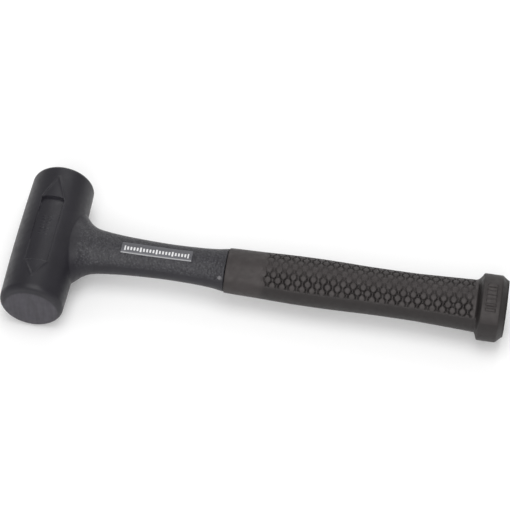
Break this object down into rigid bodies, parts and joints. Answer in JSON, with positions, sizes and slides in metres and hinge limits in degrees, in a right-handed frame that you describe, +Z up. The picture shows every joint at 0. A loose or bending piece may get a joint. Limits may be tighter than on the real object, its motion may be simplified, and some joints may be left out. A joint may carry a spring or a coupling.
{
  "type": "dead blow mallet",
  "caption": "Dead blow mallet: round soft-faced polyurethane head with a sliding steel shot charge inside, rod-reinforced handle, textured rubber grip and butt knob.",
  "frame": {"origin": "under the middle of the mallet, on the surface that the head rests on as the mallet lies on its side", "axes": "+X along the handle from the head to the butt, +Y along the head's axis, +Z up, away from the surface"},
  "size_m": [0.3404, 0.111, 0.045],
  "materials": {
    "urethane": "black cast polyurethane, satin, with a fine leather grain on the neck",
    "grip_rubber": "black soft rubber, matte, with raised scales",
    "foil": "dark grey metallised foil with a printed pattern",
    "canister_steel": "drawn steel tube, as made",
    "rod_steel": "bright drawn bar",
    "shot_steel": "steel balls, dull from knocking together"
  },
  "bodies": {
    "mallet": {"casing": "urethane", "grip": "grip_rubber", "label": "foil", "canister_tube": "canister_steel", "canister_cap_near": "canister_steel", "canister_cap_far": "canister_steel", "rod_socket": "rod_steel", "handle_rod": "rod_steel"},
    "shot_charge": {"shot_ball_01": "shot_steel", "shot_ball_02": "shot_steel", "shot_ball_03": "shot_steel", "shot_ball_04": "shot_steel", "shot_ball_05": "shot_steel", "shot_ball_06": "shot_steel", "shot_ball_07": "shot_steel", "shot_ball_08": "shot_steel", "shot_ball_09": "shot_steel", "shot_ball_10": "shot_steel", "shot_ball_11": "shot_steel", "shot_ball_12": "shot_steel", "shot_ball_13": "shot_steel", "shot_ball_14": "shot_steel", "shot_ball_15": "shot_steel", "shot_ball_16": "shot_steel", "shot_ball_17": "shot_steel", "shot_ball_18": "shot_steel", "shot_ball_19": "shot_steel", "shot_ball_20": "shot_steel", "shot_ball_21": "shot_steel", "shot_ball_22": "shot_steel", "shot_ball_23": "shot_steel", "shot_ball_24": "shot_steel", "shot_ball_25": "shot_steel", "shot_ball_26": "shot_steel", "shot_ball_27": "shot_steel", "shot_ball_28": "shot_steel", "shot_ball_29": "shot_steel", "shot_ball_30": "shot_steel", "shot_ball_31": "shot_steel", "shot_ball_32": "shot_steel", "shot_ball_33": "shot_steel", "shot_ball_34": "shot_steel", "shot_ball_35": "shot_steel", "shot_ball_36": "shot_steel", "shot_ball_37": "shot_steel", "shot_ball_38": "shot_steel"}
  },
  "joints": [
    {"name": "shot_slide", "type": "slide", "parent": "mallet", "child": "shot_charge", "axis": [0, 1, 0], "range_m": [-0.0089, 0.0089]}
  ]
}
